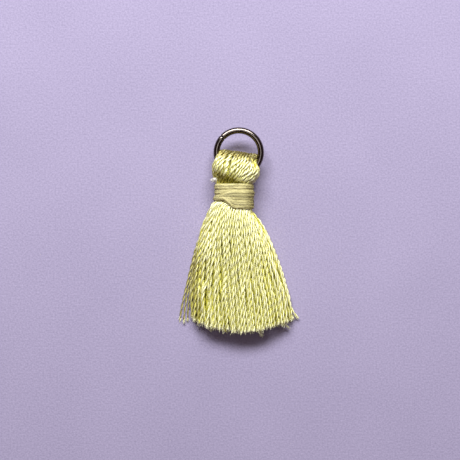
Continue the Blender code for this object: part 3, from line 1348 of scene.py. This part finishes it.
    def painted_shade(self, line: Array) -> Array:
        """Painted shade on a yarn: evenly over the head, more in the tight fold, and where it dips
        into the tie in front.

        Args:
            line: its middle line.

        Returns:
            A share from 0 to 1 for each point.
        """
        x, y, z = line.T
        # Painted shade in the tight fold, and where the yarn dips into the tie in front, over an
        # even painted shade.
        fold = ramp_up(y - self.fold_skew * x + self.rng.normal(0, 0.25), 11.0, 11.75)
        edge = np.interp(x, self.tie_edge_x, [9.1, 7.4])
        undercut_shade = ramp_up(edge - y, -0.35, 0.35) * ramp_up(z, 2.5, 3.5)
        undercut_shade = self.undercut_painted_shade * undercut_shade * (1 + 0.8 * ramp_up(-x, -0.4, 0.4))
        return np.clip(self.even_painted_shade + fold + undercut_shade, 0, 1)

    def build(self, threads: ThreadTree, finish: Material) -> list[Piece]:
        """Makes the head's pieces.

        Args:
            threads: the tree that lays thread.
            finish: the yarn's material.

        Returns:
            The yarns and the stray fibres.
        """
        _, _, outline = self.angle_table()
        chains = []
        for inset in self.layers:
            count = round((outline - FULL_TURN * inset) / self.spacing / 2)
            for k in range(count):
                start = (k + 0.5 + self.rng.normal(0, 0.1)) / count / 2
                chains.append(self.chain(start, inset))
        stray = stray_fibres(chains, self.rng, self.stray_count, self.stray_reach)
        pieces = [
            threads.lay("head_yarns", chains, self.lay, finish),
            threads.lay("head_stray_fibres", stray, STRAY_FIBRE, finish),
        ]
        y, middle, half_width, low, high = np.array(self.rows).T
        rows = np.stack([y, middle - half_width, middle + half_width, low, high, 0 * y], axis=1)
        mark_recess_shade(pieces[0], rows, self.squareness)
        return pieces


@dataclass
class NeckTie(Seeded):
    """The thread wound round the neck, with its frayed free end on the left.

    The upper turns are level in front. The lower ones are drawn together on the left, and the
    last two cross over the others there.
    """

    middle_x: float = -0.70
    middle_z: float = 2.62
    half_width: float = 2.77
    half_height: float = 2.26
    squareness: float = 2.25
    right_places: tuple[float, ...] = (7.14, 6.78, 6.26, 5.94, 5.42, 5.08, 4.60, 4.22, 3.80)
    left_places: tuple[float, ...] = (7.12, 6.76, 6.26, 5.96, 5.52, 5.34, 5.20, 5.14, 5.10)
    crossing: tuple[tuple[float, float], ...] = ((6.00, 5.12), (5.6, 5.35))
    drawn_from: int = 4
    seed: int = 5
    crossing_lift: float = 0.13
    crossing_tuck: float = 0.40
    crossing_step: float = 0.04
    free_length: tuple[float, float] = (0.05, 0.40)
    points_each: int = 72
    lay: Lay = Lay(ply_radius=0.35, pitch=1.3, sides=18)
    free_root: tuple[float, float, float] = (-3.4, 7.60, 3.1)
    free_bend: tuple[float, float, float] = (-3.70, 8.22, 3.5)
    free_tip: tuple[float, float, float] = (-4.10, 8.04, 3.6)
    free_hairs: int = 140

    def loop(self, angle: Array, y: Array, lift: Array) -> Array:
        """Points round the neck.

        Args:
            angle: angles round the neck, from the right over the front.
            y: the place along the neck.
            lift: how far each point stands outside the tie's own outline.

        Returns:
            The points.
        """
        across, upward = squared_oval(angle, self.squareness)
        x = self.middle_x + across * (self.half_width + lift)
        z = self.middle_z + upward * (self.half_height + lift)
        return np.stack([x, y, np.maximum(z, self.lay.ply_radius)], axis=1)

    def winding(self) -> Chain:
        """The turns that lie side by side.

        Returns:
            A single line down the neck.
        """
        angle = np.linspace(0, FULL_TURN, self.points_each, endpoint=False)
        runs = []
        following = (*self.right_places[1:], self.right_places[-1] - 0.1)
        for k, (right, left) in enumerate(zip(self.right_places, self.left_places)):
            gather = ramp_up(-np.cos(angle), -0.30 + 0.03 * k, 0.50)
            level = ramp_up(angle, 0.0, math.pi)
            front = right + (left - right) * (gather if k > self.drawn_from else level)
            back = left + (following[k] - left) * (angle - math.pi) / math.pi
            y = np.where(angle < math.pi, front, back) + self.rng.normal(0, 0.03)
            lift = self.rng.normal(0, 0.010) + 0.02 * np.sin(angle * 2 + self.rng.uniform(0, 6))
            if k > self.drawn_from:
                step = (k - self.drawn_from) * self.crossing_step
                lift = lift + step * gather * (angle < 4.2)
            runs.append(self.loop(angle, y, lift))
        line = smooth_line(np.vstack(runs)[::2], self.points_each * len(runs))
        thick = self.rng.normal(1, 0.03, len(line)).clip(0.94, 1.06)
        return Chain(line, thick=thick, dull=self.painted_shade(line))

    def crossings(self) -> list[Chain]:
        """The last turns, which cross over the others in front on the left.

        Returns:
            Their middle lines.
        """
        chains = []
        angle = np.linspace(-0.7, math.pi + 0.8, self.points_each)
        for k, (right, left) in enumerate(self.crossing):
            rise = ramp_up(-np.cos(angle), 0.05 + 0.12 * k, 0.98)
            y = right + (left - right) * rise
            inside = ramp_up(np.abs(angle - math.pi / 2), 1.75, 2.3)
            lift = self.crossing_lift - self.crossing_tuck * inside - self.crossing_step * k
            line = self.loop(angle, y, lift)
            chains.append(Chain(line, 0.65, dull=self.painted_shade(line)))
        return chains

    def painted_shade(self, line: Array) -> Array:
        """Painted shade on the thread: more where it goes down the right side."""
        # Painted shade down the right side.
        return 0.45 * ramp_up(line[:, 0], 0.7, 2.1)

    def free_end(self) -> list[Chain]:
        """The filaments of the thread's frayed free end.

        Returns:
            Their middle lines.
        """
        root, bend, tip = np.array([self.free_root, self.free_bend, self.free_tip])
        hairs = []
        for _ in range(self.free_hairs):
            aim = self.rng.normal(0, 1, 3)
            aim = aim / np.linalg.norm(aim) * self.rng.uniform(*self.free_length)
            start = bend + self.rng.normal(0, 0.08, 3)
            controls = np.array([root, start, tip + aim * 0.5, tip + aim])
            controls[-1] += self.rng.normal(0, 0.06, 3)
            hairs.append(Chain(smooth_line(controls, 9), 1.0, thick=np.linspace(1.0, 0.5, 9)))
        return hairs

    def build(self, threads: ThreadTree, finish: Material, pale: Material) -> list[Piece]:
        """Makes the winding and its free end.

        Args:
            threads: the tree that lays thread.
            finish: the thread's material.
            pale: the material of its frayed end.

        Returns:
            The turns, their fuzz and the free end.
        """
        layers = [self.winding(), *self.crossings()]
        hair_lay = Lay(ply_radius=0.034, sides=4)
        return [
            threads.lay("neck_tie_turns", layers, self.lay, finish),
            threads.lay("neck_tie_fuzz", self.fuzz(layers), Lay(ply_radius=0.020), finish),
            threads.lay("neck_tie_free_end", self.free_end(), hair_lay, pale),
        ]

    def fuzz(self, layers: Sequence[Chain]) -> list[Chain]:
        """Fine fibres that lie along the turns, a little off them.

        Args:
            layers: the turns.

        Returns:
            The fibres' middle lines.
        """
        hairs = []
        core = np.array([self.middle_x, 0.0, self.middle_z])
        for chain in layers:
            for _ in range(len(chain.points) * 5 // 4):
                first = int(self.rng.integers(0, len(chain.points) - 12))
                piece = chain.points[first : first + int(self.rng.integers(6, 12))]
                outwards = (piece - core) * (1, 0, 1)
                outwards = outwards / np.linalg.norm(outwards, axis=1)[:, None]
                lean = np.linspace(*self.rng.normal(0, 0.16, 2), len(piece))
                stand = self.lay.ply_radius - lean**2 * 1.5 + self.rng.uniform(0.0, 0.03)
                line = piece + outwards * stand[:, None] + lean[:, None] * (0, 1, 0)
                line[:, 2] = np.maximum(line[:, 2], 0.03)
                hairs.append(Chain(line, self.rng.uniform(0.3, 1.2), dull=self.painted_shade(line)))
        return hairs


@dataclass(frozen=True)
class SplitRing:
    """The split ring of round wire, whose cut ends stand a little out of line."""

    split_at: float = math.radians(137)
    split_gap: float = 0.02
    split_step: float = 0.2
    steps: int = 220
    sides: int = 24

    def build(self, threads: ThreadTree, finish: Material) -> Piece:
        """Makes the ring.

        Args:
            threads: the tree that sweeps its section along the wire.
            finish: the ring's material.

        Returns:
            The piece.
        """
        half_gap = self.split_gap / 2 / RING.mean_radius
        share = np.linspace(0, 1, self.steps)
        angle = self.split_at + half_gap + share * (FULL_TURN - 2 * half_gap)
        lift = self.split_step * 4 * (share - 0.5) ** 3
        line = RING.line(angle, lift)
        edge = np.minimum(share, 1 - share) * self.steps
        thick = 0.86 + 0.14 * ramp_up(edge, 0.0, 1.4)
        lay = Lay(ply_radius=RING.wire / 2, sides=self.sides)
        return threads.lay("ring_wire", [Chain(line, thick=thick)], lay, finish)


class Lamp(Enum):
    """The studio's lamps: place, width and height in metres, and power in watts."""

    KEY = ((-0.010, 0.213, 0.234), 0.28, 0.100, 2.07)
    FILL = ((0.0, 0.02, 0.60), 0.20, 0.20, 0.30)


@dataclass(frozen=True)
class Studio:
    """The floor, the lamps, the surroundings and the camera."""

    camera_height: float = 250.0
    frame_width: float = 72.9
    centre: tuple[float, float] = (-1.35, 0.16)
    focus_height: float = 2.5
    floor_half: float = 0.6
    surroundings: Colour = (1.00, 0.48, 0.58)
    surroundings_strength: float = 0.074

    def build_camera(self) -> None:
        """Sets up the camera straight above the tassel."""
        data = bpy.data.cameras.new("camera")
        data.sensor_width = 36.0
        data.lens = data.sensor_width * self.camera_height / self.frame_width
        data.clip_start = 0.01
        camera = linked("camera", data)
        camera.location = (
            self.centre[0] * MM,
            self.centre[1] * MM,
            (self.camera_height + self.focus_height) * MM,
        )
        bpy.context.scene.camera = camera

    def build_lamps(self) -> None:
        """Places the soft lamps and the dim surroundings."""
        for lamp in Lamp:
            place, width, height, power = lamp.value
            data = bpy.data.lights.new(lamp.name.lower(), "AREA")
            data.shape = "RECTANGLE"
            data.size = width
            data.size_y = height
            data.energy = power
            light = linked(lamp.name.lower(), data)
            light.location = place
            light.rotation_euler = (-Vector(place)).to_track_quat("-Z", "Y").to_euler()
            light.visible_camera = False
        world = bpy.data.worlds.new("surroundings")
        world.use_nodes = True
        background = world.node_tree.nodes["Background"]
        background.inputs["Color"].default_value = (*self.surroundings, 1.0)
        background.inputs["Strength"].default_value = self.surroundings_strength
        bpy.context.scene.world = world
        bpy.context.scene.view_settings.view_transform = "Standard"

    def build_floor(self, finish: Material) -> Piece:
        """Lays the paper that the tassel lies on.

        Args:
            finish: the paper's material.

        Returns:
            The paper.
        """
        half = self.floor_half
        mesh = bpy.data.meshes.new("floor")
        corners = [(-half, -half, 0), (half, -half, 0), (half, half, 0), (-half, half, 0)]
        mesh.from_pydata(corners, [], [(0, 1, 2, 3)])
        mesh.materials.append(finish)
        return linked("floor", mesh)


def attach(piece: Piece, node: str) -> None:
    """Fixes a piece to the tassel.

    Args:
        piece: the piece.
        node: the solid that it stands for.
    """
    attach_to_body(piece, "root")
    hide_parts(node)
    triangles = sum(len(face.vertices) - 2 for face in piece.data.polygons)
    log.info("%s: %d triangles, for %s", piece.name, triangles, node)


def main() -> None:
    """Builds the studio and the tassel's pieces in order."""
    logging.basicConfig(level=logging.INFO, format="%(name)s: %(message)s")
    studio = Studio()
    studio.build_camera()
    studio.build_lamps()
    studio.build_floor(FloorFinish().material())

    yarn = ThreadFinish(
        "silk_yarn",
        deep=(0.55, 0.53, 0.003),
        pale=(0.98, 0.975, 0.50),
        roughness=0.53,
        gloss=1.0,
        refraction=2.55,
        # Painted shade between the plies and painted highlight on their outer sides.
        ply_shade_and_highlight=3.0,
    )
    thread = ThreadFinish(
        "tie_thread",
        deep=(0.49, 0.435, 0.16),
        pale=(0.62, 0.575, 0.31),
        roughness=0.8,
        gloss=0.3,
        sheen=0.2,
    )
    tuft = ThreadFinish(
        "tie_thread_frayed",
        deep=(0.70, 0.66, 0.60),
        pale=(0.80, 0.78, 0.75),
        roughness=0.7,
        gloss=0.5,
        sheen=0.3,
    )
    yarn_finish = yarn.material()
    threads = ThreadTree()
    for yarns in (SkirtYarns(), HeadYarns()):
        for piece in yarns.build(threads, yarn_finish):
            attach(piece, "yarn_bundle")
    for piece in NeckTie().build(threads, thread.material(), tuft.material()):
        attach(piece, "neck_tie")
    attach(SplitRing().build(threads, RingFinish().material()), "split_ring")


if __name__ == "__main__":
    main()
